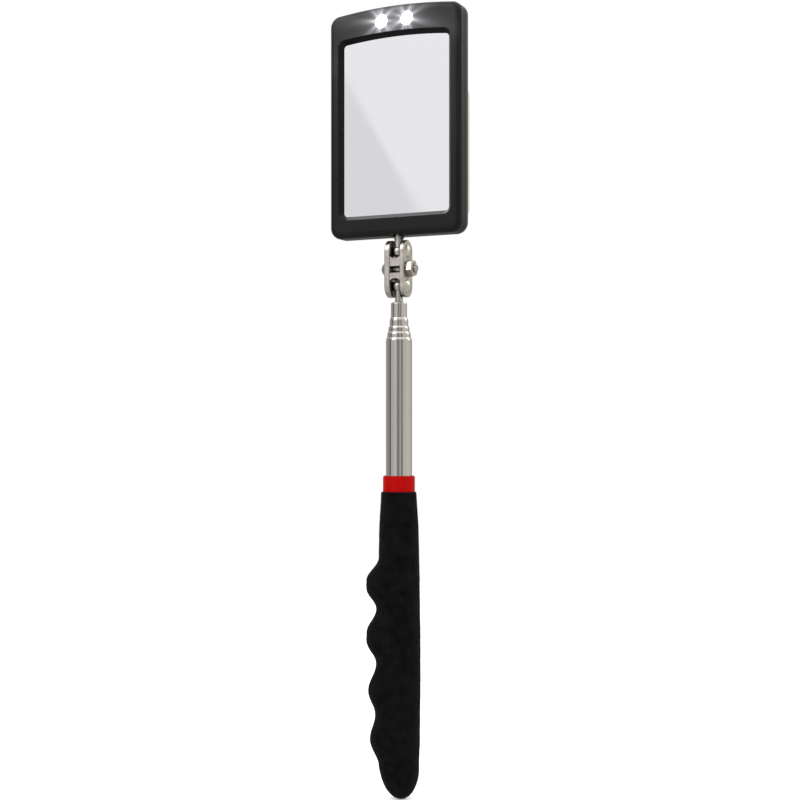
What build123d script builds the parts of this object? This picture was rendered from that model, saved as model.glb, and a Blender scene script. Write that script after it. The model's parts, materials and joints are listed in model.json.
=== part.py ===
# Telescoping lighted inspection mirror, in millimetres.
#
# +Z runs up the telescoping rod and the origin is the lower tip of the foam grip, on the rod's
# axis. The mirror faces -Y and the head's width lies along X. A double ball joint between the rod
# and the head lets the head swing in the YZ plane and turn about its own stem.
from build123d import *

import os
from math import cos, pi, radians, sin, sqrt

os.makedirs("parts", exist_ok=True)

# ---------------------------------------------------------------- driving dimensions
# Clearances
slide_clearance = 0.02  # radial, each sleeve in its tube and each tube in the lip round it
tube_gap = 0.10  # radial, between a tube's bore and the next tube
glue_gap = 0.02  # round a piece that is pressed or glued in
journal_clearance = 0.03  # radial, a stud's journal in its bearing
seat_clearance = 0.05  # between a ball and its seats
axial_play = 0.10  # end to end, between stacked or captive pieces
stop_gap = 0.30  # left between a sleeve and the lip when a tube is fully drawn out
bolt_clearance = 0.15  # radial, the clamp bolt in the plates
stem_clearance = 0.15  # radial, the stem's shoulder in the head's bottom wall
glass_clearance = 0.15  # round the mirror in its recess
led_clearance = 0.10  # radial, each lamp in the bezel
cell_clearance = 0.40  # round each cell in the tray
knob_clearance = 0.15  # round the switch knob in its slot

# Grip
grip_length = 112.7
grip_turn = 25.0  # the finger grooves' direction about Z, from -X towards -Y
grip_half_depth = 7.9
grip_end_height = 13.0  # height of the rounded lower end
grip_end_radius = 7.45
grip_tip_shift = 0.75  # the rounded end leans this far away from the fingers
grip_end_steps = (12.0, 27.0, 42.0, 57.0, 73.0)  # degrees round the lower end
grip_top_edge = 0.7
grip_section_pitch = 2.1  # between the sections that the grip's surface runs through
# Height, reach on the back and reach on the finger side, at the grip's hollows and swells
grip_stations = (
    (11.6, 7.42, 7.4),
    (22.0, 7.75, 10.7),
    (30.9, 7.81, 8.78),
    (39.7, 7.94, 11.35),
    (49.7, 7.96, 8.42),
    (58.0, 7.95, 12.02),
    (61.0, 7.93, 11.96),
    (69.6, 7.79, 8.38),
    (77.3, 7.7, 12.02),
    (80.0, 7.66, 12.02),
    (88.5, 7.45, 7.45),
    (97.0, 7.27, 7.31),
    (grip_length, 6.5, 6.6),
)

# Red collar above the grip
collar_height = 5.9
collar_wall = 1.05
collar_edge = 0.8

# Telescoping rod
tube_count = 5
outer_tube_diameter = 9.6
tube_wall = 0.36
outer_tube_low = 12.0
outer_tube_high = 169.0
shown_steps = (2.2, 2.1, 3.1, 5.6)  # how far each closed tube stands out of the one before
lip_height = 1.2  # the rolled-in rim at each tube's mouth
lip_land = 1.0
lip_edge = 0.12
end_plug_height = 4.9
sleeve_height = 3.2
sleeve_foot = 0.4  # tube left below each sleeve
sleeve_slit = 0.6
neck_depth = 0.20  # each tube is necked in by this under its sleeve
neck_runout = 0.3
nest_step = 4.0  # from one tube's foot to the next tube's foot
top_lip_height = 0.5
top_lip_land = 0.6
top_lip_reach = 0.86  # the top tube's lip rolls in this far over its plug
rod_plug_height = 5.0

# Double ball joint
ball_diameter = 4.6
ball_spacing = 12.7
lower_ball_rise = 6.0  # above the top tube
head_rise = 5.4  # from the upper ball's centre to the head
lower_neck_diameter = 2.95
upper_stem_diameter = 3.3
stem_shoulder_diameter = 3.9  # where the stem meets the head's bush
stem_shoulder_drop = 0.4  # the shoulder shows this far below the head
stem_cone_height = 0.6
journal_diameter = 2.0
stem_journal_diameter = 2.4
stud_flange_diameter = 3.6
stud_flange_height = 0.9
plate_gap = 4.05
left_plate_thickness = 2.15  # the plate that carries the spacer tabs
right_plate_thickness = 1.65
plate_width = 8.0
plate_overhang = 4.15  # beyond each ball's centre
plate_edge = 0.3
dimple_radius = 2.55
dimple_rise = 0.9
tab_thickness = 1.4
tab_gap = 2.5  # between the upper and the lower tabs
tab_gap_drop = 0.45  # the gap's middle lies this far below the bolt's axis
ball_room = 0.45  # between each ball and the hollow ends of the tabs
bolt_diameter = 3.0
bolt_head_diameter = 5.6
bolt_head_height = 2.6
bolt_slot_width = 0.8
bolt_slot_depth = 1.0
bolt_end = 7.3  # reach of the bolt's plain end from the rod's axis
washer_diameter = 6.0
washer_thickness = 0.5
washer_slit = 0.7
nut_across_flats = 5.5
nut_height = 2.2
nut_turn = 15.0
nut_chamfer = 0.35

# Head
head_width = 52.9
head_height = 84.23
head_thickness = 8.1
front_offset = 4.93  # from the rod's axis to the front face
head_arch = 185.0  # radius of the head's arched top
head_corner = 4.2
front_edge_radius = 2.3
rear_edge_radius = 1.2
groove_width = 0.35  # round the seam between the two shells
groove_depth = 0.3
side_margin = 3.78  # from the head's outline to the window
bottom_margin = 6.59
top_margin = 9.69
window_corner = 3.0
bevel_width = 1.57
bevel_depth = 2.25
shell_wall = 1.2
front_wall = 1.5

# Mirror
glass_thickness = 1.7
glass_lap = 0.9  # glass hidden behind the bezel on every side
pad_thickness = 0.5
pad_inset = 1.0

# Lamps and their board
led_diameter = 5.0
led_spacing = 10.26
led_drop = 5.6  # below the top of the arch
led_stand_out = 0.9
led_flange_width = 0.3  # each lamp's flange stands out by this all round
led_flange_height = 1.0
board_width = 24.0
board_height = 6.6
board_thickness = 0.8
lamp_pocket_width = 32.0

# Coin cells, tray and door
cell_diameter = 20.0
cell_thickness = 3.2
cell_cap_diameter = 17.4
cell_cap_height = 0.6
cell_gap = 0.6
contact_thickness = 0.15
contact_width = 4.0
contact_tail = 0.5  # past the wire that is soldered to it
tray_wall = 1.0
door_inset = 0.7  # from the head's sides
door_low_rise = 5.7  # from the head's bottom edge
door_rise = 3.53  # stands this far off the rear face
door_wall = 1.2
door_corner = 4.0
door_edge_radius = 1.6
door_end_room = 0.6

# Screws: thread, head and boss
screw_radius = 1.0
screw_head_radius = 1.7
screw_head_height = 1.1
screw_slot_width = 0.5
screw_slot_depth = 0.5
screw_bite = 3.2  # thread depth in the front bezel
screw_boss_radius = 2.0
case_screw_inset = 4.85  # from the head's sides
boss_sink = 0.2  # the lower bosses run this far into the bottom wall
door_screw_bite = 3.3  # thread depth below the rear face

# Switch
switch_width = 9.0
switch_height = 4.0
switch_depth = 2.2
switch_rise = 3.2  # above the battery door
switch_travel = 2.5
knob_width = 3.0
knob_height = 2.2
knob_stand_out = 1.6
knob_foot_width = 1.2
knob_foot_depth = 0.9
knob_rib_width = 0.4

# Stem bush and wires
bush_wall = 1.2
bush_slit = 0.5
bush_floor = 1.3  # bottom wall under the bush
notch_radius = 3.4  # arched notch over the stem, in the head's lower front edge
notch_height = 0.9
wire_diameter = 0.8
wire_room = 0.7  # between the tray and the wires beside it
wire_bend = 1.6
board_wire_places = (8.0, 10.0)  # across the board
rib_thickness = 1.0
rib_spacing = 34.0
rib_inset = 2.0  # the mirror ribs are shorter than the tray by this at each end
peg_width = 4.0
peg_thickness = 1.0
peg_spacing = 36.0
peg_reach = 0.3  # past the rear wall

# ---------------------------------------------------------------- places worked out from them
outer_radius = outer_tube_diameter / 2
tube_radii = [outer_radius - i * (tube_wall + tube_gap) for i in range(tube_count)]
tube_lows = [outer_tube_low, outer_tube_low + end_plug_height + axial_play]
tube_highs = [outer_tube_high]
for step in shown_steps:
    tube_highs.append(tube_highs[-1] + step)
while len(tube_lows) < tube_count:
    tube_lows.append(tube_lows[-1] + nest_step)
rod_top = tube_highs[-1]

finger_x = -cos(radians(grip_turn))
finger_y = -sin(radians(grip_turn))

ball_radius = ball_diameter / 2
lower_ball_z = rod_top + lower_ball_rise
upper_ball_z = lower_ball_z + ball_spacing
bolt_z = (lower_ball_z + upper_ball_z) / 2
plate_inner = plate_gap / 2
left_outer = plate_inner + left_plate_thickness
right_outer = plate_inner + right_plate_thickness
plate_length = ball_spacing + 2 * plate_overhang

head_low = upper_ball_z + head_rise
crown_z = head_low + head_height
front_y = -front_offset
rear_y = front_y + head_thickness
inner_rear_y = rear_y - shell_wall
seam_y = 0.0
glass_front_y = front_y + bevel_depth
glass_rear_y = glass_front_y + glass_thickness
pad_rear_y = glass_rear_y + pad_thickness

led_z = crown_z - led_drop
board_rear_y = inner_rear_y - axial_play
board_front_y = board_rear_y - board_thickness

door_y = rear_y + door_rise
door_low = head_low + door_low_rise
cell_radius = cell_diameter / 2
cell_zs = [door_low + door_wall + cell_clearance + cell_radius]
cell_zs.append(cell_zs[0] + cell_diameter + cell_gap)
door_screw_z = cell_zs[1] + cell_radius + cell_gap + screw_boss_radius
door_high = door_screw_z + screw_boss_radius + door_wall + door_end_room
door_mid = (door_low + door_high) / 2
cell_rear_y = door_y - door_wall - axial_play - contact_thickness
cell_front_y = cell_rear_y - cell_thickness
tray_floor_y = cell_front_y - contact_thickness
tray_low = cell_zs[0] - cell_radius - cell_clearance
tray_high = cell_zs[1] + cell_radius + cell_clearance
tray_half_width = cell_radius + cell_clearance

switch_z = door_high + switch_rise
switch_rear_y = inner_rear_y - axial_play / 2
knob_x = -switch_travel / 2

case_screw_low = head_low + shell_wall + screw_boss_radius - boss_sink

stem_top = head_low + door_low_rise - axial_play
bush_low = head_low + bush_floor
bush_high = stem_top - stud_flange_height - axial_play
bush_radius = stem_journal_diameter / 2 + bush_wall
shoulder_low = head_low - stem_shoulder_drop
shoulder_radius = stem_shoulder_diameter / 2
wire_y = inner_rear_y - wire_diameter / 2 - axial_play
wire_x = tray_half_width + tray_wall + wire_room + wire_diameter / 2
contact_reach = wire_x + contact_tail
peg_z = door_low + door_wall + peg_thickness / 2 + axial_play
screw_seat = screw_head_height + axial_play  # counterbore depth


# ---------------------------------------------------------------- shared shapes
def upright(y):
    """Plane at depth y, with sketch axes along X and Z. Extruding it goes towards -Y."""
    return Plane.XZ.offset(-y)


def level(z):
    """Plane square to the rod at height z."""
    return Plane.XY.offset(z)


def arched_panel(inset, corner, bottom=0.0, top=0.0):
    """The head's outline with its sides set in, and its bottom and top set in further."""
    half_width = head_width / 2 - inset
    low = head_low + inset + bottom
    crown = crown_z - inset - top
    arch = head_arch - inset - top
    shoulder = crown - arch + sqrt(arch**2 - half_width**2)
    with BuildSketch() as panel:
        with BuildLine():
            Polyline((-half_width, shoulder), (-half_width, low), (half_width, low), (half_width, shoulder))
            ThreePointArc((half_width, shoulder), (0, crown), (-half_width, shoulder))
        make_face()
        fillet(panel.vertices(), corner)
    return panel.sketch


def window_panel(grow, corner):
    """The mirror window where the bezel meets the glass, made larger by grow on every side."""
    inset = side_margin + bevel_width - grow
    return arched_panel(inset, corner, bottom_margin - side_margin, top_margin - side_margin)


def case_screw_places():
    """Centres of the four case screws, in X and Z."""
    reach = head_width / 2 - case_screw_inset
    return [(x, z) for x in (-reach, reach) for z in (case_screw_low, led_z)]


def grip_reaches(height):
    """The grip's back and finger reach at a height, eased between the stations on either side."""
    above = next(i for i, station in enumerate(grip_stations) if station[0] >= height - 1e-6)
    low, *low_reaches = grip_stations[max(above - 1, 0)]
    high, *high_reaches = grip_stations[max(above, 1)]
    share = (1 - cos(pi * (height - low) / (high - low))) / 2
    return [start + share * (end - start) for start, end in zip(low_reaches, high_reaches)]


def tube_outline(index):
    """Half section of one tube, radius along X and height along Z."""
    radius = tube_radii[index]
    bore = radius - tube_wall
    low = tube_lows[index]
    high = tube_highs[index]
    last = index == tube_count - 1
    rim = top_lip_height if last else lip_height
    land = top_lip_land if last else lip_land
    mouth = radius - top_lip_reach if last else tube_radii[index + 1] + slide_clearance
    arc_end = max(mouth + lip_edge, radius - rim)
    foot = low + sleeve_foot
    neck_top = foot + sleeve_height
    with BuildSketch(Plane.XZ) as section:
        with BuildLine():
            if index == 0:
                Polyline((mouth, high), (mouth, high - land), (bore, high - land), (bore, low))
                Polyline((bore, low), (radius, low), (radius, high - rim))
            else:
                Polyline((mouth, high), (mouth, high - land), (bore, high - land))
                Polyline((bore, high - land), (bore, neck_top + neck_runout), (bore - neck_depth, neck_top))
                Polyline((bore - neck_depth, neck_top), (bore - neck_depth, low))
                Polyline((bore - neck_depth, low), (radius, low), (radius, foot))
                Polyline((radius, foot), (radius - neck_depth, foot), (radius - neck_depth, neck_top))
                Polyline((radius - neck_depth, neck_top), (radius, neck_top), (radius, high - rim))
            TangentArc((radius, high - rim), (arc_end, high), tangent=(0, 1))
            Line((arc_end, high), (mouth, high))
        make_face()
    return section.sketch


def stadium(width, length):
    """Slot outline, length along the sketch's Y."""
    with BuildSketch() as slot:
        SlotOverall(length, width, rotation=90)
    return slot.sketch


def self_tapping_screw(y, depth, places):
    """Slotted pan-head screws along Y, one at each place: heads seated at y, points depth in front."""
    with BuildPart() as screw:
        with BuildSketch(upright(y + screw_head_height)):
            with Locations(*places):
                Circle(screw_head_radius)
        extrude(amount=screw_head_height)
        fillet(screw.faces().group_by(Axis.Y)[-1].edges(), screw_slot_depth / 2)
        with BuildSketch(upright(y)):
            with Locations(*places):
                Circle(screw_radius)
        extrude(amount=depth)
        chamfer(screw.faces().group_by(Axis.Y)[0].edges(), screw_radius / 2)
        with BuildSketch(upright(y + screw_head_height)):
            with Locations(*places):
                Rectangle(3 * screw_head_radius, screw_slot_width, rotation=45)
        extrude(amount=screw_slot_depth, mode=Mode.SUBTRACT)
    return screw.part


def wire_run(*corners):
    """Round wire along rounded runs in the plane of the wires."""
    with BuildPart() as wire:
        with BuildLine(upright(wire_y)) as route:
            FilletPolyline(*corners, radius=wire_bend)
        with BuildSketch(Plane(origin=route.line @ 0, z_dir=route.line % 0)):
            Circle(wire_diameter / 2)
        sweep()
    return wire.part


def clamp_plate(side, thickness):
    """Flat stadium plate with a ball seat pressed outwards at each end; side is -1 or 1."""
    outer = plate_inner + thickness
    face = Plane.YZ.offset(side * plate_inner)
    dome = (dimple_radius**2 + dimple_rise**2) / (2 * dimple_rise)
    with BuildPart() as plate:
        with BuildSketch(face):
            with Locations((0, bolt_z)):
                add(stadium(plate_width, plate_length))
        extrude(amount=side * thickness)
        fillet(plate.edges().filter_by(Plane.YZ), plate_edge)
        for z in (lower_ball_z, upper_ball_z):
            with BuildSketch(Plane.XZ):
                with Locations((side * (outer + dimple_rise - dome), z)):
                    Circle(dome)
                with Locations((side * (outer - glue_gap - dome), z)):
                    Rectangle(2 * dome, 2 * dome, mode=Mode.SUBTRACT)
                with Locations((0, z - dome)):
                    Rectangle(6 * dome, 2 * dome, mode=Mode.SUBTRACT)
            revolve(axis=Axis((0, 0, z), (1, 0, 0)))
            with Locations((0, 0, z)):
                Sphere(ball_radius + seat_clearance, rotation=(0, 0, 90), mode=Mode.SUBTRACT)
        with BuildSketch(face):
            with Locations((0, bolt_z)):
                Circle(bolt_diameter / 2 + bolt_clearance)
        extrude(amount=side * 2 * thickness, mode=Mode.SUBTRACT)
    return plate.part


# ---------------------------------------------------------------- handle
# Foam grip: elliptical sections that swell into four finger bumps, over a rounded lower end.
grip_sections = []
for step in grip_end_steps:
    height = grip_end_height * (1 - cos(radians(step)))
    reach = grip_end_radius * sin(radians(step))
    lean = grip_tip_shift * (1 - height / grip_end_height)
    grip_sections.append((height, reach + lean, reach - lean))
body_low = grip_stations[0][0]
body_count = round((grip_length - body_low) / grip_section_pitch)
for index in range(body_count + 1):
    height = body_low + (grip_length - body_low) * index / body_count
    grip_sections.append((height, *grip_reaches(height)))

with BuildPart() as foam_grip:
    for height, back, finger in grip_sections:
        section_plane = Plane(origin=(0, 0, height), x_dir=(finger_x, finger_y, 0), z_dir=(0, 0, 1))
        half_span = (back + finger) / 2
        with BuildSketch(section_plane):
            with Locations(((finger - back) / 2, 0)):
                Ellipse(half_span, min(grip_half_depth, half_span))
    loft()
    fillet(foam_grip.faces().sort_by(Axis.Z)[-1].edges(), grip_top_edge)
    with BuildSketch(level(outer_tube_low)):
        Circle(outer_radius + glue_gap)
    extrude(amount=grip_length, mode=Mode.SUBTRACT)
foam_grip.part.label = "foam_grip"
export_step(foam_grip.part, "parts/foam_grip.step")

# Red collar: a ring pressed on the outer tube, which closes the grip's upper end.
with BuildPart() as red_collar:
    with BuildSketch(level(grip_length)):
        Circle(outer_radius + glue_gap + collar_wall)
        Circle(outer_radius + glue_gap, mode=Mode.SUBTRACT)
    extrude(amount=collar_height)
    top_rim = red_collar.faces().sort_by(Axis.Z)[-1].edges().sort_by(SortBy.RADIUS)[-1]
    fillet(top_rim, min(collar_edge, 0.8 * collar_wall))
red_collar.part.label = "red_collar"
export_step(red_collar.part, "parts/red_collar.step")

# Plug in the outer tube's lower end.
with BuildPart() as tube_end_plug:
    with BuildSketch(level(outer_tube_low)):
        Circle(outer_radius - tube_wall - glue_gap)
    extrude(amount=end_plug_height)
    chamfer(tube_end_plug.faces().sort_by(Axis.Z)[-1].edges(), 2 * tube_wall)
tube_end_plug.part.label = "tube_end_plug"
export_step(tube_end_plug.part, "parts/tube_end_plug.step")

# ---------------------------------------------------------------- telescoping tubes
tube_names = ["outer_tube"] + [f"tube_{number}" for number in range(2, tube_count + 1)]
for index, tube_name in enumerate(tube_names):
    with BuildPart() as tube:
        add(tube_outline(index))
        revolve(axis=Axis.Z)
    tube.part.label = tube_name
    export_step(tube.part, f"parts/{tube_name}.step")

# A split brass sleeve round each inner tube's neck rubs in the tube outside it.
for index in range(1, tube_count):
    sleeve_bore = tube_radii[index] - neck_depth + glue_gap
    sleeve_radius = tube_radii[index - 1] - tube_wall - slide_clearance
    with BuildPart() as friction_sleeve:
        with BuildSketch(level(tube_lows[index] + sleeve_foot + glue_gap)):
            Circle(sleeve_radius)
            Circle(sleeve_bore, mode=Mode.SUBTRACT)
            with Locations((0, sleeve_radius)):
                Rectangle(sleeve_slit, sleeve_radius, mode=Mode.SUBTRACT)
        extrude(amount=sleeve_height - 2 * glue_gap)
    sleeve_name = f"friction_sleeve_{index + 1}"
    friction_sleeve.part.label = sleeve_name
    export_step(friction_sleeve.part, f"parts/{sleeve_name}.step")

# Plug in the top tube, the bearing that the lower stud turns in.
rod_plug_high = rod_top - top_lip_land - glue_gap
rod_plug_low = rod_plug_high - rod_plug_height
with BuildPart() as rod_end_plug:
    with BuildSketch(level(rod_plug_low)):
        Circle(tube_radii[-1] - tube_wall - glue_gap)
        Circle(journal_diameter / 2 + journal_clearance, mode=Mode.SUBTRACT)
    extrude(amount=rod_plug_height)
rod_end_plug.part.label = "rod_end_plug"
export_step(rod_end_plug.part, "parts/rod_end_plug.step")

# ---------------------------------------------------------------- double ball joint
# Lower stud: ball, neck, thin journal in the plug, and a flange that holds it there.
with BuildPart() as lower_ball_stud:
    with BuildSketch(level(rod_plug_high + axial_play)):
        Circle(lower_neck_diameter / 2)
    extrude(amount=lower_ball_z - rod_plug_high - axial_play)
    with BuildSketch(level(rod_plug_low - axial_play)):
        Circle(journal_diameter / 2)
    extrude(amount=rod_plug_height + 2 * axial_play)
    with BuildSketch(level(rod_plug_low - axial_play - stud_flange_height)):
        Circle(stud_flange_diameter / 2)
    extrude(amount=stud_flange_height)
    with Locations((0, 0, lower_ball_z)):
        Sphere(ball_radius)
lower_ball_stud.part.label = "lower_ball_stud"
export_step(lower_ball_stud.part, "parts/lower_ball_stud.step")

# Upper stud: ball, stem with a shoulder under the head's bush, journal in it, and flange above.
with BuildPart() as upper_ball_stud:
    with BuildSketch(level(upper_ball_z)):
        Circle(upper_stem_diameter / 2)
    extrude(amount=shoulder_low - upper_ball_z)
    with BuildSketch(level(shoulder_low)):
        Circle(shoulder_radius)
    extrude(amount=bush_low - axial_play - shoulder_low)
    with Locations((0, 0, shoulder_low - stem_cone_height / 2)):
        Cone(upper_stem_diameter / 2, shoulder_radius, stem_cone_height)
    with BuildSketch(level(bush_low - axial_play)):
        Circle(stem_journal_diameter / 2)
    extrude(amount=stem_top - bush_low + axial_play)
    with BuildSketch(level(stem_top - stud_flange_height)):
        Circle(stud_flange_diameter / 2)
    extrude(amount=stud_flange_height)
    with Locations((0, 0, upper_ball_z)):
        Sphere(ball_radius)
upper_ball_stud.part.label = "upper_ball_stud"
export_step(upper_ball_stud.part, "parts/upper_ball_stud.step")

# Left plate, with four spacer tabs folded across the gap, hollowed round the balls.
tab_reach = plate_gap - glue_gap
tab_y = plate_width / 2 - plate_edge - tab_thickness / 2
hollow_radius = ball_radius + ball_room
with BuildPart() as clamp_plate_left:
    add(clamp_plate(-1, left_plate_thickness))
    gap_mid = bolt_z - tab_gap_drop
    with BuildSketch(Plane.YZ.offset(-plate_inner)):
        tab_ends = (gap_mid - tab_gap / 2, gap_mid + tab_gap / 2)
        for tab_end, ball_z in zip(tab_ends, (lower_ball_z, upper_ball_z)):
            with Locations((0, (tab_end + ball_z) / 2)):
                with GridLocations(2 * tab_y, 0, 2, 1):
                    Rectangle(tab_thickness, abs(ball_z - tab_end))
    extrude(amount=tab_reach)
    with BuildSketch(Plane.XZ.offset(-plate_width)):
        with Locations((0, lower_ball_z), (0, upper_ball_z)):
            Circle(hollow_radius)
        with Locations((-plate_inner - hollow_radius, bolt_z)):
            Rectangle(2 * hollow_radius, 2 * plate_length, mode=Mode.SUBTRACT)
    extrude(amount=2 * plate_width, mode=Mode.SUBTRACT)
clamp_plate_left.part.label = "clamp_plate_left"
export_step(clamp_plate_left.part, "parts/clamp_plate_left.step")

# Right plate, the plain one that carries the nut.
with BuildPart() as clamp_plate_right:
    add(clamp_plate(1, right_plate_thickness))
clamp_plate_right.part.label = "clamp_plate_right"
export_step(clamp_plate_right.part, "parts/clamp_plate_right.step")

# Clamp bolt: round slotted head against the left plate, thread end past the nut.
head_sphere = (bolt_head_diameter**2 / 4 + bolt_head_height**2) / (2 * bolt_head_height)
with BuildPart() as clamp_bolt:
    with BuildSketch(Plane.XZ):
        with Locations((-left_outer - bolt_head_height + head_sphere, bolt_z)):
            Circle(head_sphere)
        with Locations((-left_outer + 2 * head_sphere, bolt_z)):
            Rectangle(4 * head_sphere, 4 * head_sphere, mode=Mode.SUBTRACT)
        with Locations((-left_outer, bolt_z - 2 * head_sphere)):
            Rectangle(6 * head_sphere, 4 * head_sphere, mode=Mode.SUBTRACT)
    revolve(axis=Axis((0, 0, bolt_z), (1, 0, 0)))
    with BuildSketch(Plane.YZ.offset(-left_outer)):
        with Locations((0, bolt_z)):
            Circle(bolt_diameter / 2)
    extrude(amount=left_outer + bolt_end)
    chamfer(clamp_bolt.faces().sort_by(Axis.X)[-1].edges(), nut_chamfer)
    with BuildSketch(Plane.YZ.offset(-left_outer - bolt_head_height)):
        with Locations((0, bolt_z)):
            Rectangle(bolt_slot_width, 2 * bolt_head_diameter, rotation=nut_turn)
    extrude(amount=bolt_slot_depth, mode=Mode.SUBTRACT)
clamp_bolt.part.label = "clamp_bolt"
export_step(clamp_bolt.part, "parts/clamp_bolt.step")

# Split lock washer between the right plate and the nut.
with BuildPart() as lock_washer:
    with BuildSketch(Plane.YZ.offset(right_outer)):
        with Locations((0, bolt_z)):
            Circle(washer_diameter / 2)
            Circle(bolt_diameter / 2 + bolt_clearance, mode=Mode.SUBTRACT)
        with Locations((0, bolt_z - washer_diameter / 2)):
            Rectangle(washer_slit, washer_diameter, mode=Mode.SUBTRACT)
    extrude(amount=washer_thickness)
lock_washer.part.label = "lock_washer"
export_step(lock_washer.part, "parts/lock_washer.step")

# Hexagon nut, chamfered on its outer face.
with BuildPart() as clamp_nut:
    with BuildSketch(Plane.YZ.offset(right_outer + washer_thickness)):
        with Locations((0, bolt_z)):
            RegularPolygon(nut_across_flats / 2, 6, major_radius=False, rotation=nut_turn)
            Circle(bolt_diameter / 2 + glue_gap, mode=Mode.SUBTRACT)
    extrude(amount=nut_height)
    outer_rim = clamp_nut.faces().sort_by(Axis.X)[-1].outer_wire().edges()
    chamfer(outer_rim, nut_chamfer)
clamp_nut.part.label = "clamp_nut"
export_step(clamp_nut.part, "parts/clamp_nut.step")

# ---------------------------------------------------------------- head shells
# Front bezel: bevelled mirror window, lamp holes, half of the bush seat and a notch over the stem.
with BuildPart() as front_bezel:
    with BuildSketch(upright(seam_y)):
        add(arched_panel(0, head_corner))
    extrude(amount=seam_y - front_y)
    fillet(front_bezel.faces().sort_by(Axis.Y)[0].edges(), front_edge_radius)
    with BuildSketch(upright(seam_y)):
        add(arched_panel(0, head_corner))
        add(arched_panel(groove_depth, head_corner - groove_depth), mode=Mode.SUBTRACT)
    extrude(amount=groove_width / 2, mode=Mode.SUBTRACT)
    with BuildSketch(upright(glass_front_y)):
        add(window_panel(0, window_corner - bevel_width))
    with BuildSketch(upright(front_y)):
        add(window_panel(bevel_width, window_corner))
    loft(ruled=True, mode=Mode.SUBTRACT)
    with BuildSketch(upright(seam_y)):
        add(window_panel(glass_lap + glass_clearance, window_corner))
    extrude(amount=seam_y - glass_front_y, mode=Mode.SUBTRACT)
    with BuildSketch(upright(seam_y)):
        with Locations((0, led_z)):
            RectangleRounded(lamp_pocket_width, board_height, front_wall)
    extrude(amount=seam_y - front_y - front_wall, mode=Mode.SUBTRACT)
    with BuildSketch(upright(seam_y)):
        with Locations((0, led_z)):
            with GridLocations(led_spacing, 0, 2, 1):
                Circle(led_diameter / 2 + led_clearance)
        with Locations(*case_screw_places()):
            Circle(screw_radius + glue_gap)
    extrude(amount=screw_bite + axial_play, mode=Mode.SUBTRACT)
    with BuildSketch(upright(seam_y)):
        with Locations((0, led_z)):
            with GridLocations(led_spacing, 0, 2, 1):
                Circle(led_diameter / 2 + led_clearance)
    extrude(amount=2 * head_thickness, mode=Mode.SUBTRACT)
    with BuildSketch(level(bush_low)):
        Circle(bush_radius + glue_gap)
    extrude(amount=stem_top - bush_low + axial_play, mode=Mode.SUBTRACT)
    with BuildSketch(level(head_low)):
        Circle(shoulder_radius + stem_clearance)
    extrude(amount=bush_floor, mode=Mode.SUBTRACT)
    with BuildSketch(upright(seam_y)):
        with Locations((0, head_low + notch_height - notch_radius)):
            Circle(notch_radius)
    extrude(amount=head_thickness, mode=Mode.SUBTRACT)
front_bezel.part.label = "front_bezel"
export_step(front_bezel.part, "parts/front_bezel.step")

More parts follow.
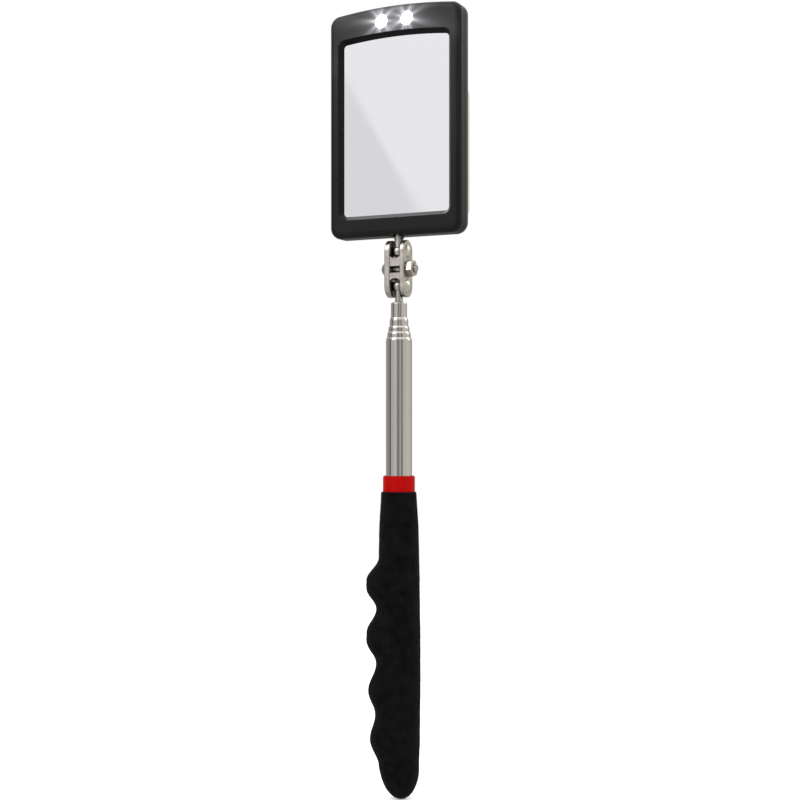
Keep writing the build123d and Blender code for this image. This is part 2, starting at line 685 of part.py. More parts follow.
# Rear shell: hollow, with the cell tray, screw bosses, mirror ribs and half the bush seat.
tray_mid = (tray_low + tray_high) / 2
tray_height = tray_high - tray_low
stem_block_width = 2 * (bush_radius + shell_wall)
stem_block_height = tray_low - tray_wall - head_low
with BuildPart() as rear_shell:
    with BuildSketch(upright(rear_y)):
        add(arched_panel(0, head_corner))
    extrude(amount=rear_y - seam_y)
    fillet(rear_shell.faces().sort_by(Axis.Y)[-1].edges(), rear_edge_radius)
    with BuildSketch(upright(seam_y + groove_width / 2)):
        add(arched_panel(0, head_corner))
        add(arched_panel(groove_depth, head_corner - groove_depth), mode=Mode.SUBTRACT)
    extrude(amount=groove_width / 2, mode=Mode.SUBTRACT)
    with BuildSketch(upright(inner_rear_y)):
        add(arched_panel(shell_wall, head_corner - shell_wall))
    extrude(amount=inner_rear_y - seam_y, mode=Mode.SUBTRACT)
    # ribs that press on the mirror's pad
    with BuildSketch(upright(inner_rear_y)):
        with Locations((0, tray_mid)):
            with GridLocations(rib_spacing, 0, 2, 1):
                Rectangle(rib_thickness, tray_height - 2 * rib_inset)
    extrude(amount=inner_rear_y - pad_rear_y)
    # tray block, case screw bosses and stem block
    with BuildSketch(upright(inner_rear_y)):
        with Locations((0, tray_mid)):
            Rectangle(2 * (tray_half_width + tray_wall), tray_height + 2 * tray_wall)
    extrude(amount=inner_rear_y - tray_floor_y + tray_wall)
    with BuildSketch(upright(inner_rear_y)):
        with Locations(*case_screw_places()):
            Circle(screw_boss_radius)
        with Locations((0, head_low + stem_block_height / 2 + shell_wall / 2)):
            Rectangle(stem_block_width, stem_block_height - shell_wall)
    extrude(amount=inner_rear_y - seam_y)
    with BuildSketch(upright(inner_rear_y)):
        with Locations((0, door_screw_z)):
            Circle(screw_boss_radius)
    extrude(amount=inner_rear_y - rear_y + door_screw_bite + 2 * axial_play)
    # inside of the tray, and the slots for the contacts' tails
    with BuildSketch(upright(rear_y)):
        with Locations((0, tray_mid)):
            Rectangle(2 * tray_half_width, tray_height)
    extrude(amount=rear_y - tray_floor_y, mode=Mode.SUBTRACT)
    with BuildSketch(upright(tray_floor_y + 2 * contact_thickness)):
        with Locations((-contact_reach / 2, cell_zs[0]), (contact_reach / 2, cell_zs[1])):
            Rectangle(contact_reach + 2 * axial_play, contact_width + 2 * axial_play)
    extrude(amount=2 * contact_thickness, mode=Mode.SUBTRACT)
    # screw holes and their counterbores
    with BuildSketch(upright(rear_y)):
        with Locations(*case_screw_places()):
            Circle(screw_head_radius + axial_play)
    extrude(amount=screw_seat, mode=Mode.SUBTRACT)
    with BuildSketch(upright(rear_y)):
        with Locations(*case_screw_places()):
            Circle(screw_radius + axial_play)
    extrude(amount=head_thickness, mode=Mode.SUBTRACT)
    with BuildSketch(upright(rear_y)):
        with Locations((0, door_screw_z)):
            Circle(screw_radius + glue_gap)
    extrude(amount=door_screw_bite + axial_play, mode=Mode.SUBTRACT)
    # slots for the door's pegs and for the switch knob
    with BuildSketch(upright(rear_y)):
        with Locations((0, peg_z)):
            with GridLocations(peg_spacing, 0, 2, 1):
                Rectangle(peg_width + 2 * axial_play, peg_thickness + axial_play)
        with Locations((0, switch_z)):
            slot_width = knob_width + switch_travel + 2 * knob_clearance
            Rectangle(slot_width, knob_height + 2 * knob_clearance)
    extrude(amount=shell_wall, mode=Mode.SUBTRACT)
    # bush seat and stem hole
    with BuildSketch(level(bush_low)):
        Circle(bush_radius + glue_gap)
    extrude(amount=stem_top - bush_low + axial_play, mode=Mode.SUBTRACT)
    with BuildSketch(level(head_low)):
        Circle(shoulder_radius + stem_clearance)
    extrude(amount=bush_floor, mode=Mode.SUBTRACT)
rear_shell.part.label = "rear_shell"
export_step(rear_shell.part, "parts/rear_shell.step")

# Nylon bush that the upper stem turns in, slit so that it opens over the journal.
with BuildPart() as stem_bush:
    with BuildSketch(level(bush_low)):
        Circle(bush_radius)
        Circle(stem_journal_diameter / 2 + journal_clearance, mode=Mode.SUBTRACT)
        with Locations((0, bush_radius)):
            Rectangle(bush_slit, bush_radius, mode=Mode.SUBTRACT)
    extrude(amount=bush_high - bush_low)
stem_bush.part.label = "stem_bush"
export_step(stem_bush.part, "parts/stem_bush.step")

# ---------------------------------------------------------------- mirror and lamps
with BuildPart() as mirror_glass:
    with BuildSketch(upright(glass_rear_y)):
        add(window_panel(glass_lap, window_corner - glass_clearance))
    extrude(amount=glass_thickness)
mirror_glass.part.label = "mirror_glass"
export_step(mirror_glass.part, "parts/mirror_glass.step")

with BuildPart() as mirror_pad:
    with BuildSketch(upright(pad_rear_y)):
        add(window_panel(glass_lap - pad_inset, window_corner - pad_inset))
    extrude(amount=pad_thickness)
mirror_pad.part.label = "mirror_pad"
export_step(mirror_pad.part, "parts/mirror_pad.step")

# Two round-nosed lamps, flanged where they sit on the board.
dome_y = front_y - led_stand_out + led_diameter / 2
for lamp_name, lamp_x in (("led_left", -led_spacing / 2), ("led_right", led_spacing / 2)):
    with BuildPart() as led:
        with BuildSketch(upright(board_front_y)):
            with Locations((lamp_x, led_z)):
                Circle(led_diameter / 2)
        extrude(amount=board_front_y - dome_y)
        with BuildSketch(upright(board_front_y)):
            with Locations((lamp_x, led_z)):
                Circle(led_diameter / 2 + led_flange_width)
        extrude(amount=led_flange_height)
        with Locations((lamp_x, dome_y, led_z)):
            Sphere(led_diameter / 2)
    led.part.label = lamp_name
    export_step(led.part, f"parts/{lamp_name}.step")

with BuildPart() as circuit_board:
    with BuildSketch(upright(board_rear_y)):
        with Locations((0, led_z)):
            Rectangle(board_width, board_height)
    extrude(amount=board_thickness)
circuit_board.part.label = "circuit_board"
export_step(circuit_board.part, "parts/circuit_board.step")

# ---------------------------------------------------------------- cells, contacts and door
for cell_name, cell_z in zip(("cell_lower", "cell_upper"), cell_zs):
    with BuildPart() as cell:
        with BuildSketch(upright(cell_rear_y)):
            with Locations((0, cell_z)):
                Circle(cell_radius)
        extrude(amount=cell_thickness - cell_cap_height)
        with BuildSketch(upright(cell_front_y + cell_cap_height)):
            with Locations((0, cell_z)):
                Circle(cell_cap_diameter / 2)
        extrude(amount=cell_cap_height)
    cell.part.label = cell_name
    export_step(cell.part, f"parts/{cell_name}.step")

# One strip under each cell; its tail passes through the tray's side to a wire.
with BuildPart() as cell_contacts:
    with BuildSketch(upright(tray_floor_y + contact_thickness)):
        with Locations((-contact_reach / 2, cell_zs[0]), (contact_reach / 2, cell_zs[1])):
            Rectangle(contact_reach, contact_width)
    extrude(amount=contact_thickness)
cell_contacts.part.label = "cell_contacts"
export_step(cell_contacts.part, "parts/cell_contacts.step")

# Strip under the door that joins the two cells.
with BuildPart() as link_strip:
    with BuildSketch(upright(cell_rear_y + contact_thickness)):
        with Locations((0, (cell_zs[0] + cell_zs[1]) / 2)):
            Rectangle(contact_width, cell_radius + cell_gap + cell_radius / 2)
    extrude(amount=contact_thickness)
link_strip.part.label = "link_strip"
export_step(link_strip.part, "parts/link_strip.step")

# Battery door: a shallow cover with rounded rims, two pegs below and one screw above.
with BuildPart() as battery_door:
    with BuildSketch(upright(door_y)):
        with Locations((0, door_mid)):
            RectangleRounded(head_width - 2 * door_inset, door_high - door_low, door_corner)
    extrude(amount=door_rise)
    fillet(battery_door.faces().sort_by(Axis.Y)[-1].edges(), door_edge_radius)
    with BuildSketch(upright(door_y - door_wall)):
        with Locations((0, door_mid)):
            inner_width = head_width - 2 * door_inset - 2 * door_wall
            inner_height = door_high - door_low - 2 * door_wall
            RectangleRounded(inner_width, inner_height, door_corner - door_wall)
    extrude(amount=door_rise - door_wall, mode=Mode.SUBTRACT)
    with BuildSketch(upright(door_y - door_wall)):
        with Locations((0, door_screw_z)):
            Circle(screw_boss_radius)
    extrude(amount=door_rise - door_wall)
    with BuildSketch(upright(door_y - door_wall)):
        with Locations((0, peg_z)):
            with GridLocations(peg_spacing, 0, 2, 1):
                Rectangle(peg_width, peg_thickness)
    extrude(amount=door_rise - door_wall + shell_wall + peg_reach)
    with BuildSketch(upright(door_y)):
        with Locations((0, door_screw_z)):
            Circle(screw_head_radius + axial_play)
    extrude(amount=screw_seat, mode=Mode.SUBTRACT)
    with BuildSketch(upright(door_y)):
        with Locations((0, door_screw_z)):
            Circle(screw_radius + axial_play)
    extrude(amount=door_rise, mode=Mode.SUBTRACT)
battery_door.part.label = "battery_door"
export_step(battery_door.part, "parts/battery_door.step")

# ---------------------------------------------------------------- screws
door_seat_y = door_y - screw_seat
door_screw = self_tapping_screw(door_seat_y, door_seat_y - rear_y + door_screw_bite, [(0, door_screw_z)])
door_screw.label = "door_screw"
export_step(door_screw, "parts/door_screw.step")

case_seat_y = rear_y - screw_seat
case_screws = self_tapping_screw(case_seat_y, case_seat_y - seam_y + screw_bite, case_screw_places())
case_screws.label = "case_screws"
export_step(case_screws, "parts/case_screws.step")

# ---------------------------------------------------------------- switch and wires
# Switch body behind the mirror, with a slot for the knob's foot.
with BuildPart() as switch_body:
    with BuildSketch(upright(switch_rear_y)):
        with Locations((0, switch_z)):
            Rectangle(switch_width, switch_height)
    extrude(amount=switch_depth)
    with BuildSketch(upright(switch_rear_y)):
        with Locations((0, switch_z)):
            foot_slot_width = knob_foot_width + switch_travel + 2 * knob_clearance
            Rectangle(foot_slot_width, knob_foot_width + 2 * knob_clearance)
    extrude(amount=knob_foot_depth + 2 * axial_play, mode=Mode.SUBTRACT)
switch_body.part.label = "switch_body"
export_step(switch_body.part, "parts/switch_body.step")

# Ribbed knob, at rest in its "on" place.
with BuildPart() as switch_knob:
    with BuildSketch(upright(rear_y + knob_stand_out)):
        with Locations((knob_x, switch_z)):
            Rectangle(knob_width, knob_height)
    extrude(amount=knob_stand_out + shell_wall)
    with BuildSketch(upright(inner_rear_y)):
        with Locations((knob_x, switch_z)):
            Rectangle(knob_foot_width, knob_foot_width)
    extrude(amount=knob_foot_depth)
    with BuildSketch(upright(rear_y + knob_stand_out)):
        with Locations((knob_x, switch_z)):
            with GridLocations(2 * knob_rib_width, 0, 3, 1):
                Rectangle(knob_rib_width, 2 * knob_height)
    extrude(amount=knob_rib_width, mode=Mode.SUBTRACT)
switch_knob.part.label = "switch_knob"
export_step(switch_knob.part, "parts/switch_knob.step")

# Red wire: lower cell's contact to the switch, then switch to board. Black: upper cell to board.
board_low = led_z - board_height / 2
switch_side = switch_width / 2
red_x, black_x = board_wire_places
with BuildPart() as lead_wire_red:
    add(wire_run((-wire_x, cell_zs[0]), (-wire_x, switch_z), (-switch_side, switch_z)))
    add(wire_run((switch_side, switch_z), (red_x, switch_z), (red_x, board_low)))
lead_wire_red.part.label = "lead_wire_red"
export_step(lead_wire_red.part, "parts/lead_wire_red.step")

jog_low = switch_z + switch_height / 2
jog_high = (jog_low + board_low) / 2
with BuildPart() as lead_wire_black:
    add(wire_run((wire_x, cell_zs[1]), (wire_x, jog_low), (black_x, jog_high), (black_x, board_low)))
lead_wire_black.part.label = "lead_wire_black"
export_step(lead_wire_black.part, "parts/lead_wire_black.step")

# How far each tube draws out before its sleeve comes within the stop gap of the lip round it.
for index in range(1, tube_count):
    sleeve_top = tube_lows[index] + sleeve_foot + sleeve_height
    lip_low = tube_highs[index - 1] - lip_land
    print(f"{tube_names[index]} draws out {lip_low - sleeve_top - stop_gap:.1f} mm")
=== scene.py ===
"""Telescoping lighted inspection mirror: materials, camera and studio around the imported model.

Everything is in metres in the part's own frame: +Z up the rod, the mirror faces -Y.
"""

import json
from math import atan2, cos, hypot, pi, radians, sin

import bmesh
import bpy
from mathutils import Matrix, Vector, noise


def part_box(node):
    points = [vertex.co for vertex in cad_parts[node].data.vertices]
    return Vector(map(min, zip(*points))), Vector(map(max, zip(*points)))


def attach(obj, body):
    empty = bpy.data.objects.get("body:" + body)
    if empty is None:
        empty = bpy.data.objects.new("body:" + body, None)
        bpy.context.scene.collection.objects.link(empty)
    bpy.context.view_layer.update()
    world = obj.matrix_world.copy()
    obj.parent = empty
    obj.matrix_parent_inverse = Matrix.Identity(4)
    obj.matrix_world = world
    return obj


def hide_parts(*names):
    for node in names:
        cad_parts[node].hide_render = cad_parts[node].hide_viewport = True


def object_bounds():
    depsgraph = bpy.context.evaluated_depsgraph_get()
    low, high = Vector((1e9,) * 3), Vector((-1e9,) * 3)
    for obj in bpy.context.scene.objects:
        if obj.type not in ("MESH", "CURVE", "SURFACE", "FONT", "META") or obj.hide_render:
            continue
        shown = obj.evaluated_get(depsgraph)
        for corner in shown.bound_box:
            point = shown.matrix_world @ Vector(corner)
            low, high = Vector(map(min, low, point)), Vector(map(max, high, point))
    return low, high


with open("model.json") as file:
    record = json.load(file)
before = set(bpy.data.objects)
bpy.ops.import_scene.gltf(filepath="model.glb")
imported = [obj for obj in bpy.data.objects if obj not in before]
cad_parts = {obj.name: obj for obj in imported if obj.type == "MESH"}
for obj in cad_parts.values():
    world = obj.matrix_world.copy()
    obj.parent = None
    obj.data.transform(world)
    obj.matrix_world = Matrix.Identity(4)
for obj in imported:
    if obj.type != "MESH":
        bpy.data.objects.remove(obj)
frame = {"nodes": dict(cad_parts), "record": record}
nodes = frame["nodes"]
cad_low, cad_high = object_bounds()

MM = 0.001
WHITE = (1, 1, 1, 1)

# Camera
CAMERA_AZIMUTH = radians(25.0)  # round from the mirror's own facing direction, towards +X
CAMERA_DISTANCE = 0.5116  # from the rod's axis
CAMERA_HEIGHT = 0.13785
CAMERA_LENS = 62.73
CAMERA_SENSOR = 36.0
CAMERA_SHIFT = (0.0013, 0.02875)
CAMERA_NEAR = 0.01

# Brightness of the studio round the horizon, by azimuth in degrees from -Y towards +X:
# broad soft boxes with the narrow dark gaps between them that streak the polished tubes.
STUDIO_BANDS = (
    (-180, (0.50, 0.50, 0.49)),
    (-120, (0.62, 0.62, 0.61)),
    (-70, (0.50, 0.50, 0.48)),
    (-58, (0.12, 0.11, 0.10)),
    (-53, (0.10, 0.09, 0.08)),
    (-49, (0.86, 0.85, 0.87)),
    (2, (0.88, 0.87, 0.89)),
    (9, (0.30, 0.29, 0.28)),
    (26, (0.34, 0.33, 0.32)),
    (31, (0.66, 0.65, 0.62)),
    (44, (0.62, 0.61, 0.58)),
    (49, (0.16, 0.15, 0.14)),
    (56, (0.16, 0.15, 0.14)),
    (61, (0.84, 0.82, 0.76)),
    (140, (0.90, 0.87, 0.81)),
    (158, (0.52, 0.51, 0.49)),
    (180, (0.50, 0.50, 0.49)),
)

# One soft box in front ends along a slanting edge, which the mirror shows as a faint diagonal.
# Two directions on that edge, as azimuth and elevation in degrees.
SOFT_BOX_EDGE = ((-26.9, 13.35), (-24.2, 8.7))
SOFT_BOX_DIMMER = 0.84  # brightness beyond the edge, as a share of the brightness before it
SOFT_BOX_BLUR = 0.002  # half the width of the edge, as the sine of an angle

# Light from overhead, by the sine of the elevation at which it starts and is full
OVERHEAD_START = 0.35
OVERHEAD_FULL = 0.75
OVERHEAD_COLOUR = (1.5, 1.5, 1.5, 1)

# Floor
FLOOR_RADIUS = 0.7
FLOOR_SIDES = 96
FLOOR_DROP = 0.2 * MM  # below the grip's tip
FLOOR_COLOUR = (0.9, 0.9, 0.9, 1)
FLOOR_ROUGHNESS = 0.8
FLOOR_GLOW = 0.35

# The lamps' light on the head's front, painted as a glow (emission) of the plastic itself
LAMP_SPILL = 5e-6  # its brightness times distance squared, in square metres
LAMP_CORE = 1.5e-6  # evens it out close to the lamp, in square metres
SPILL_COLOUR = (0.95, 0.95, 1.0, 1)
SPILL_BETWEEN_RAYS = 0.5
# Two sets of rays: how many, their turn, what the second lamp adds to it, sharpness, strength.
RAY_SETS = ((8, 0.4, 1, 5, 0.9), (5, 1.7, -1, 7, 0.5))
# The light falls on faces whose normal's Y is under the first, and not on those over the second.
SPILL_FULL_FACING = -0.95
SPILL_NO_FACING = -0.6

# Foam skin of the grip
FOAM_VOXEL = 0.3 * MM
FOAM_SMOOTHING = 0.5
FOAM_SWELLS = ((0.25, 0.05 * MM), (0.9, 0.05 * MM))  # noise per millimetre and its height
# The frame's mesh of the grip has a shallow hollow between these two heights.
grip_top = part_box("foam_grip")[1][2]
HOLLOW_LOW = grip_top - 10.2 * MM
HOLLOW_HIGH = grip_top - 2.7 * MM
SKIN_LEAST_REACH = 5.5 * MM  # the foam's outer skin is further than this from the rod's axis
RING_STEPS = 72


# ---------------------------------------------------------------- node helpers
class Nodes:
    """A node tree, with short names for what the studio and the materials share."""

    def __init__(self, tree):
        self.tree = tree

    def new(self, kind):
        return self.tree.nodes.new("ShaderNode" + kind)

    def feed(self, socket, value):
        """Link another node's output to a socket, or give the socket a fixed value."""
        if isinstance(value, bpy.types.NodeSocket):
            self.tree.links.new(value, socket)
        else:
            socket.default_value = value

    def split(self, vector):
        """The X, Y and Z of a vector."""
        node = self.new("SeparateXYZ")
        self.feed(node.inputs[0], vector)
        return node.outputs

    def calc(self, operation, *values):
        """Math node on sockets or plain numbers."""
        node = self.new("Math")
        node.operation = operation
        for socket, value in zip(node.inputs, values):
            self.feed(socket, value)
        return node.outputs[0]

    def spread(self, value, low, high, to_low, to_high, interpolation="LINEAR"):
        """Value remapped from low..high to to_low..to_high."""
        node = self.new("MapRange")
        node.interpolation_type = interpolation
        limits = {"From Min": low, "From Max": high, "To Min": to_low, "To Max": to_high}
        for name, limit in limits.items():
            node.inputs[name].default_value = limit
        self.feed(node.inputs["Value"], value)
        return node.outputs["Result"]

    def mix(self, share, first, second):
        """Colour that runs from the first to the second with the share."""
        node = self.new("Mix")
        node.data_type = "RGBA"
        self.feed(node.inputs["Factor"], share)
        self.feed(node.inputs["A"], first)
        self.feed(node.inputs["B"], second)
        return node.outputs["Result"]


class Finish(Nodes):
    """A Principled material with procedural detail."""

    def __init__(self, name, colour, roughness, metallic=0.0):
        self.material = bpy.data.materials.new(name)
        self.material.use_nodes = True
        super().__init__(self.material.node_tree)
        self.shader = self.tree.nodes["Principled BSDF"]
        self.base = self.shader.inputs["Base Color"]
        self.base.default_value = (*colour, 1)
        self.set(Roughness=roughness, Metallic=metallic)
        coordinates = self.new("TexCoord")
        self.place = coordinates.outputs["Object"]
        self.facing = coordinates.outputs["Normal"]

    def set(self, **sockets):
        """Fixed values on the shader's own sockets."""
        for name, value in sockets.items():
            self.shader.inputs[name.replace("_", " ")].default_value = value

    def stretched(self, x, y, z):
        """Object coordinates scaled along each axis, for grain that runs one way."""
        node = self.new("Mapping")
        node.inputs["Scale"].default_value = (x, y, z)
        self.feed(node.inputs["Vector"], self.place)
        return node.outputs["Vector"]

    def noise(self, scale, detail, vector=None):
        """Cloudy pattern, at so many per metre."""
        node = self.new("TexNoise")
        node.inputs["Scale"].default_value = scale
        node.inputs["Detail"].default_value = detail
        self.feed(node.inputs["Vector"], vector or self.place)
        return node.outputs["Fac"]

    def cells(self, scale):
        """Distance from the middle of each foam cell, at so many cells per metre."""
        node = self.new("TexVoronoi")
        node.inputs["Scale"].default_value = scale
        self.feed(node.inputs["Vector"], self.place)
        return node.outputs["Distance"]

    def openness(self, reach):
        """1 on open faces, falling to 0 in gaps narrower than the reach."""
        node = self.new("AmbientOcclusion")
        node.samples = 8
        node.inputs["Distance"].default_value = reach
        return node.outputs["AO"]

    def tint(self, value, dark, light):
        """Base colour that runs from dark to light with value."""
        self.feed(self.base, self.mix(value, (*dark, 1), (*light, 1)))

    def paint_gap_shade(self, reach, low, high, colour):
        """Painted shade: base colour taken down to a dark shade colour deep in the gaps."""
        share = self.spread(self.openness(reach), low, high, 0, 1)
        unshaded = self.base.links[0].from_socket
        self.feed(self.base, self.mix(share, (*colour, 1), unshaded))

    def rough(self, value):
        self.feed(self.shader.inputs["Roughness"], value)

    def bump(self, value, depth, strength):
        """Relief of the given depth in metres, stacked on any bump already there."""
        node = self.new("Bump")
        node.inputs["Distance"].default_value = depth
        node.inputs["Strength"].default_value = strength
        self.feed(node.inputs["Height"], value)
        normal = self.shader.inputs["Normal"]
        if normal.is_linked:
            self.feed(node.inputs["Normal"], normal.links[0].from_socket)
        self.feed(normal, node.outputs["Normal"])


# ---------------------------------------------------------------- camera and studio
def make_camera():
    """Level camera, round to the right of the mirror's own facing direction."""
    data = bpy.data.cameras.new("camera")
    data.lens = CAMERA_LENS
    data.sensor_width = CAMERA_SENSOR
    data.shift_x, data.shift_y = CAMERA_SHIFT
    data.clip_start = CAMERA_NEAR
    camera = bpy.data.objects.new("camera", data)
    camera.location = (
        CAMERA_DISTANCE * sin(CAMERA_AZIMUTH),
        -CAMERA_DISTANCE * cos(CAMERA_AZIMUTH),
        CAMERA_HEIGHT,
    )
    camera.rotation_euler = (pi / 2, 0, CAMERA_AZIMUTH)
    bpy.context.scene.collection.objects.link(camera)
    bpy.context.scene.camera = camera


def direction(azimuth, elevation):
    """Unit vector at an azimuth from -Y towards +X and an elevation, in degrees."""
    turn, rise = radians(azimuth), radians(elevation)
    return Vector((sin(turn) * cos(rise), -cos(turn) * cos(rise), sin(rise)))


def band_colours(studio, towards):
    """Colour of the studio's bands, by how far round the horizon a direction is."""
    azimuth = studio.calc("ARCTAN2", towards["X"], studio.calc("MULTIPLY", towards["Y"], -1.0))
    bands = studio.new("ValToRGB")
    ramp = bands.color_ramp
    ramp.interpolation = "LINEAR"
    while len(ramp.elements) < len(STUDIO_BANDS):
        ramp.elements.new(0.5)
    for element, (degrees, colour) in zip(ramp.elements, STUDIO_BANDS):
        element.position = (degrees + 180) / 360
        element.color = (*colour, 1)
    studio.feed(bands.inputs["Fac"], studio.spread(azimuth, -pi, pi, 0, 1))
    return bands.outputs["Color"]


def soft_box_share(studio, generated):
    """1 before the soft box's slanting edge, and its dimmer value beyond it."""
    upper, lower = (direction(*corner) for corner in SOFT_BOX_EDGE)
    side = studio.new("VectorMath")
    side.operation = "DOT_PRODUCT"
    side.inputs[1].default_value = lower.cross(upper).normalized()
    studio.feed(side.inputs[0], generated)
    return studio.spread(side.outputs["Value"], -SOFT_BOX_BLUR, SOFT_BOX_BLUR, 1, SOFT_BOX_DIMMER)


def make_world():
    """Soft studio: white to the camera, banded to reflections, brighter overhead."""
    world = bpy.data.worlds.new("studio")
    bpy.context.scene.world = world
    world.use_nodes = True
    world.node_tree.nodes.clear()
    studio = Nodes(world.node_tree)
    generated = studio.new("TexCoord").outputs["Generated"]
    towards = studio.split(generated)
    dimmed = studio.new("VectorMath")
    dimmed.operation = "SCALE"
    studio.feed(dimmed.inputs[0], band_colours(studio, towards))
    studio.feed(dimmed.inputs["Scale"], soft_box_share(studio, generated))
    lift = studio.spread(towards["Z"], OVERHEAD_START, OVERHEAD_FULL, 0, 1, "SMOOTHSTEP")
    lit = studio.new("Background")
    studio.feed(lit.inputs["Color"], studio.mix(lift, dimmed.outputs[0], OVERHEAD_COLOUR))
    white = studio.new("Background")
    white.inputs["Color"].default_value = WHITE
    choose = studio.new("MixShader")
    studio.feed(choose.inputs["Fac"], studio.new("LightPath").outputs["Is Camera Ray"])
    studio.feed(choose.inputs[1], lit.outputs[0])
    studio.feed(choose.inputs[2], white.outputs[0])
    studio.feed(studio.new("OutputWorld").inputs["Surface"], choose.outputs[0])


def make_floor():
    """Plain pale floor under the grip's tip."""
    bpy.ops.mesh.primitive_circle_add(vertices=FLOOR_SIDES, radius=FLOOR_RADIUS, fill_type="NGON")
    floor = bpy.context.object
    floor.name = "floor"
    floor.location.z = cad_low[2] - FLOOR_DROP
    material = bpy.data.materials.new("floor_white")
    material.use_nodes = True
    shader = material.node_tree.nodes["Principled BSDF"]
    shader.inputs["Base Color"].default_value = FLOOR_COLOUR
    shader.inputs["Roughness"].default_value = FLOOR_ROUGHNESS
    shader.inputs["Emission Color"].default_value = WHITE
    shader.inputs["Emission Strength"].default_value = FLOOR_GLOW
    floor.data.materials.append(material)
    floor.visible_glossy = False  # the metal shows the studio, not the floor


def area_light(name, place, target, size, watts):
    """Square soft box aimed at a point."""
    data = bpy.data.lights.new(name, "AREA")
    data.shape = "SQUARE"
    data.size = size
    data.energy = watts
    light = bpy.data.objects.new(name, data)
    light.location = place
    light.rotation_euler = (Vector(target) - Vector(place)).to_track_quat("-Z", "Y").to_euler()
    bpy.context.scene.collection.objects.link(light)


def make_lights():
    """Soft key from the front left above, and a gentle one from behind right."""
    middle = (0, 0, (cad_low[2] + cad_high[2]) / 2)
    area_light("key", place=(-0.5, -0.9, 0.9), target=middle, size=0.6, watts=4.0)
    area_light("rim", place=(0.7, 0.6, 0.7), target=middle, size=0.5, watts=2.0)


# ---------------------------------------------------------------- materials
def grip_foam():
    """Closed-cell foam: near-black, matt, finely pored."""
    finish = Finish("grip_foam", (0.003, 0.003, 0.0035), 0.85)
    finish.set(Specular_IOR_Level=0.05, Sheen_Weight=0.02, Sheen_Roughness=0.4)
    pores = finish.cells(1500)
    mottle = finish.noise(260, 4)
    pore_light = finish.spread(pores, 0.1, 0.6, 0.6, 1.3)
    mottle_light = finish.spread(mottle, 0.3, 0.75, 0.2, 1)
    speckle = finish.calc("MULTIPLY", pore_light, mottle_light)
    finish.tint(speckle, (0.0008, 0.0008, 0.0010), (0.0050, 0.0049, 0.0055))
    finish.bump(pores, 0.10 * MM, 0.7)
    finish.bump(mottle, 0.25 * MM, 0.5)
    return finish.material


def collar_plastic():
    """Red vinyl with a little waviness."""
    finish = Finish("collar_plastic", (0.34, 0.002, 0.002), 0.32)
    finish.set(Specular_IOR_Level=0.04)
    wave = finish.noise(220, 2)
    finish.tint(finish.spread(wave, 0.3, 0.7, 0, 1), (0.32, 0.0015, 0.0012), (0.38, 0.0025, 0.002))
    finish.bump(finish.noise(500, 3), 0.04 * MM, 0.4)
    return finish.material


def drawn_steel(name, colour, roughness):
    """Polished tube with fine lines drawn along the rod."""
    finish = Finish(name, colour, roughness, 1.0)
    lines = finish.noise(1.0, 3, finish.stretched(2600, 2600, 9))
    smudge = finish.noise(60, 3)
    darker = tuple(0.86 * c for c in colour)
    finish.tint(finish.spread(lines, 0.3, 0.7, 0, 1), darker, colour)
    finish.rough(finish.spread(smudge, 0.3, 0.7, roughness * 0.8, roughness * 1.4))
    finish.bump(lines, 0.012 * MM, 0.35)
    return finish.material


def tumbled_nickel(name, colour, roughness):
    """Plated pressing, softened by tumbling, with shade painted dark into the base colour where
    the pieces close on each other.
    """
    finish = Finish(name, colour, roughness, 1.0)
    dents = finish.noise(700, 3)
    haze = finish.noise(300, 4)
    finish.tint(finish.spread(haze, 0.3, 0.75, 0, 1), tuple(0.80 * c for c in colour), colour)
    # painted shade: near-black base colour deep in the gaps between the pieces
    finish.paint_gap_shade(2.2 * MM, 0.30, 0.72, (0.022, 0.018, 0.013))
    finish.rough(finish.spread(haze, 0.3, 0.7, roughness * 0.7, roughness * 1.5))
    finish.bump(dents, 0.05 * MM, 0.5)
    return finish.material


def moulded_plastic(name, colour, roughness, cloudiness=0.25):
    """Satin moulding with a fine spark-eroded grain."""
    finish = Finish(name, colour, roughness)
    texture = finish.noise(2600, 2)
    cloud = finish.noise(90, 3)
    lighter = tuple((1 + cloudiness) * c for c in colour)
    finish.tint(finish.spread(cloud, 0.35, 0.7, 0, 1), colour, lighter)
    finish.rough(finish.spread(cloud, 0.3, 0.7, roughness * 0.9, roughness * 1.15))
    finish.bump(texture, 0.012 * MM, 0.5)
    return finish


def lamp_rays(finish, angle, number):
    """How strong a lamp's light is in each direction round it, from short rays."""
    strength = SPILL_BETWEEN_RAYS
    for count, turn, added_turn, sharpness, share in RAY_SETS:
        phase = finish.calc("MULTIPLY_ADD", angle, count / 2, turn + added_turn * number)
        wave = finish.calc("ABSOLUTE", finish.calc("COSINE", phase))
        ray = finish.calc("POWER", wave, sharpness)
        strength = finish.calc("MULTIPLY_ADD", ray, share, strength)
    return strength


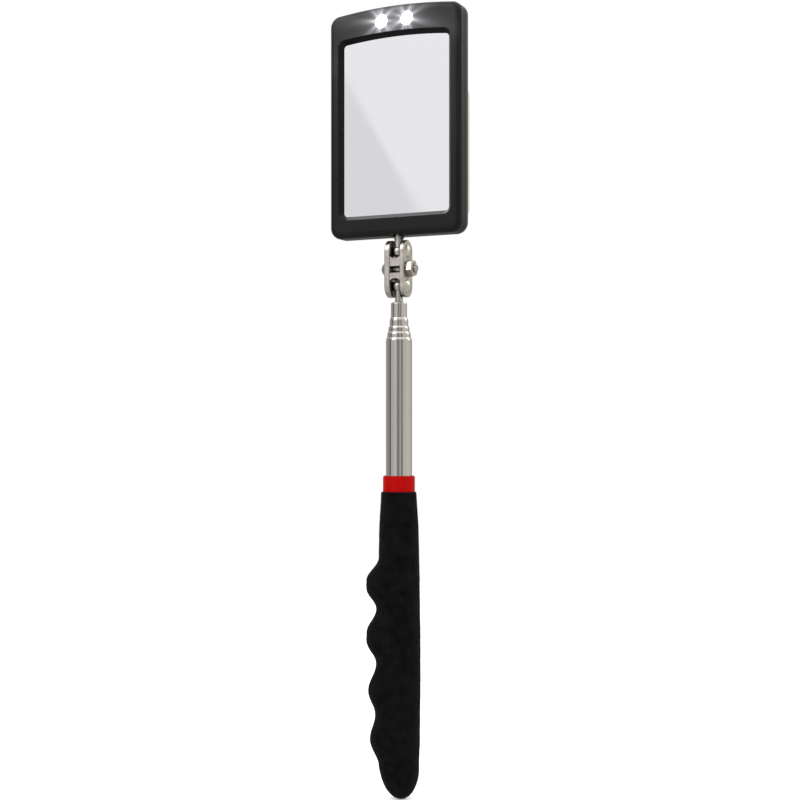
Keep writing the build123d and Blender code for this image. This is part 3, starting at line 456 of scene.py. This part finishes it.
def lamp_lit_plastic(name, colour, roughness):
    """The head's plastic, with the lamps' light painted on as a glow spilling over the front in
    short rays.
    """
    finish = moulded_plastic(name, colour, roughness)
    finish.set(Specular_IOR_Level=0.2, Emission_Color=SPILL_COLOUR)
    place = finish.split(finish.place)
    spill = 0.0
    for number, lamp in enumerate(("led_left", "led_right")):
        lamp_low, lamp_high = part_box(lamp)
        across = finish.calc("SUBTRACT", place["X"], (lamp_low[0] + lamp_high[0]) / 2)
        up = finish.calc("SUBTRACT", place["Z"], (lamp_low[2] + lamp_high[2]) / 2)
        square = finish.calc("MULTIPLY_ADD", across, across, finish.calc("MULTIPLY", up, up))
        rays = lamp_rays(finish, finish.calc("ARCTAN2", up, across), number)
        falloff = finish.calc("DIVIDE", LAMP_SPILL, finish.calc("ADD", square, LAMP_CORE))
        spill = finish.calc("MULTIPLY_ADD", falloff, rays, spill)
    normal_y = finish.split(finish.facing)["Y"]
    front = finish.spread(normal_y, SPILL_FULL_FACING, SPILL_NO_FACING, 1, 0)
    # painted light: the plastic glows with the lamps' spill, though it is no lamp
    finish.feed(finish.shader.inputs["Emission Strength"], finish.calc("MULTIPLY", spill, front))
    return finish


def silvered_glass():
    """Mirror, almost perfectly smooth, with the faintest cool tint."""
    finish = Finish("mirror_silver", (0.92, 0.92, 0.93), 0.02, 1.0)
    film = finish.noise(40, 3)
    finish.rough(finish.spread(film, 0.3, 0.8, 0.015, 0.05))
    return finish.material


def lit_lamp():
    """Clear lamp that glows white."""
    finish = Finish("lamp_lens", (0.95, 0.96, 1.0), 0.1)
    finish.set(Emission_Color=(0.92, 0.96, 1.0, 1), Emission_Strength=12.0, Coat_Weight=0.6)
    swirl = finish.noise(900, 2)
    finish.bump(swirl, 0.02 * MM, 0.3)
    return finish.material


FINISHES = {
    "grip_foam": grip_foam(),
    "collar_plastic": collar_plastic(),
    "black_nylon": moulded_plastic("black_nylon", (0.02, 0.02, 0.02), 0.5).material,
    "tube_steel": drawn_steel("tube_steel", (0.56, 0.54, 0.51), 0.15),
    "brass": drawn_steel("brass", (0.72, 0.52, 0.22), 0.3),
    "joint_nickel": tumbled_nickel("joint_nickel", (0.58, 0.55, 0.50), 0.29),
    "bolt_nickel": tumbled_nickel("bolt_nickel", (0.49, 0.465, 0.41), 0.30),
    "head_plastic": moulded_plastic("head_plastic", (0.0042, 0.0042, 0.0045), 0.36).material,
    "mirror_silver": silvered_glass(),
    "pad_foam": moulded_plastic("pad_foam", (0.6, 0.6, 0.58), 0.9, 0.05).material,
    "lamp_lens": lit_lamp(),
    "board_green": moulded_plastic("board_green", (0.02, 0.12, 0.05), 0.4).material,
    "cell_steel": drawn_steel("cell_steel", (0.62, 0.62, 0.62), 0.25),
    "door_plastic": moulded_plastic("door_plastic", (0.56, 0.54, 0.46), 0.42, 0.03).material,
    "screw_steel": tumbled_nickel("screw_steel", (0.42, 0.42, 0.42), 0.3),
    "knob_plastic": moulded_plastic("knob_plastic", (0.012, 0.012, 0.012), 0.45).material,
    "wire_red": moulded_plastic("wire_red", (0.45, 0.02, 0.02), 0.4).material,
    "wire_black": moulded_plastic("wire_black", (0.02, 0.02, 0.02), 0.4).material,
}
BEZEL_FINISH = lamp_lit_plastic("bezel_plastic", (0.003, 0.003, 0.0033), 0.36).material
NODE_FINISHES = {"front_bezel": BEZEL_FINISH}


def dress_nodes():
    """Give every CAD node its own finish, or else the finish of its material slot."""
    for part in frame["record"]["subparts"]:
        mesh = nodes[part["node"]].data
        mesh.materials.clear()
        mesh.materials.append(NODE_FINISHES.get(part["node"], FINISHES[part["material_slot"]]))


# ---------------------------------------------------------------- foam skin
def ring_place(vertex):
    """How far round the rod's axis a vertex is, in ring steps."""
    return RING_STEPS * atan2(vertex.co.y, vertex.co.x) / (2 * pi) % RING_STEPS


def ring_reaches(form, height):
    """Reach of the skin at a height, one value for each step round the rod's axis."""
    reaches = [0.0] * RING_STEPS
    for vertex in form.verts:
        if abs(vertex.co.z - height) < FOAM_VOXEL:
            step = int(ring_place(vertex)) % RING_STEPS
            reaches[step] = max(reaches[step], hypot(vertex.co.x, vertex.co.y))
    return reaches


def fill_hollow(form):
    """Bring the skin between the two heights out to the straight line between their rings."""
    low_ring, high_ring = (ring_reaches(form, height) for height in (HOLLOW_LOW, HOLLOW_HIGH))
    for vertex in form.verts:
        reach = hypot(vertex.co.x, vertex.co.y)
        if reach < SKIN_LEAST_REACH or not HOLLOW_LOW < vertex.co.z < HOLLOW_HIGH:
            continue
        rise = (vertex.co.z - HOLLOW_LOW) / (HOLLOW_HIGH - HOLLOW_LOW)
        place = ring_place(vertex) - 0.5
        step, share = int(place // 1), place % 1
        after = (step + 1) % RING_STEPS
        low = low_ring[step] + share * (low_ring[after] - low_ring[step])
        high = high_ring[step] + share * (high_ring[after] - high_ring[step])
        wanted = max(reach, low + rise * (high - low))
        vertex.co.x *= wanted / reach
        vertex.co.y *= wanted / reach


def even_skin(sleeve):
    """The sleeve's mesh as one skin of even facets."""
    remesh = sleeve.modifiers.new("even_skin", "REMESH")
    remesh.mode = "VOXEL"
    remesh.voxel_size = FOAM_VOXEL
    evaluated = sleeve.evaluated_get(bpy.context.evaluated_depsgraph_get())
    skin = bpy.data.meshes.new_from_object(evaluated)
    sleeve.modifiers.clear()
    return skin


def make_foam_sleeve():
    """The grip's foam as one even skin, with the slight unevenness that cut foam has."""
    sleeve = bpy.data.objects.new("foam_sleeve", nodes["foam_grip"].data.copy())
    bpy.context.scene.collection.objects.link(sleeve)
    skin = even_skin(sleeve)
    sleeve.data = skin
    form = bmesh.new()
    form.from_mesh(skin)
    every_axis = {"use_axis_x": True, "use_axis_y": True, "use_axis_z": True}
    bmesh.ops.smooth_vert(form, verts=form.verts, factor=FOAM_SMOOTHING, **every_axis)
    fill_hollow(form)
    form.normal_update()
    for vertex in form.verts:
        place = vertex.co / MM
        swell = sum(height * noise.noise(place * density) for density, height in FOAM_SWELLS)
        vertex.co += vertex.normal * swell
    form.to_mesh(skin)
    form.free()
    skin.shade_smooth()
    skin.materials.clear()
    skin.materials.append(FINISHES["grip_foam"])
    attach(sleeve, "handle")
    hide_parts("foam_grip")


make_camera()
make_world()
make_floor()
make_lights()
dress_nodes()
make_foam_sleeve()

bpy.context.scene.view_settings.view_transform = "Standard"
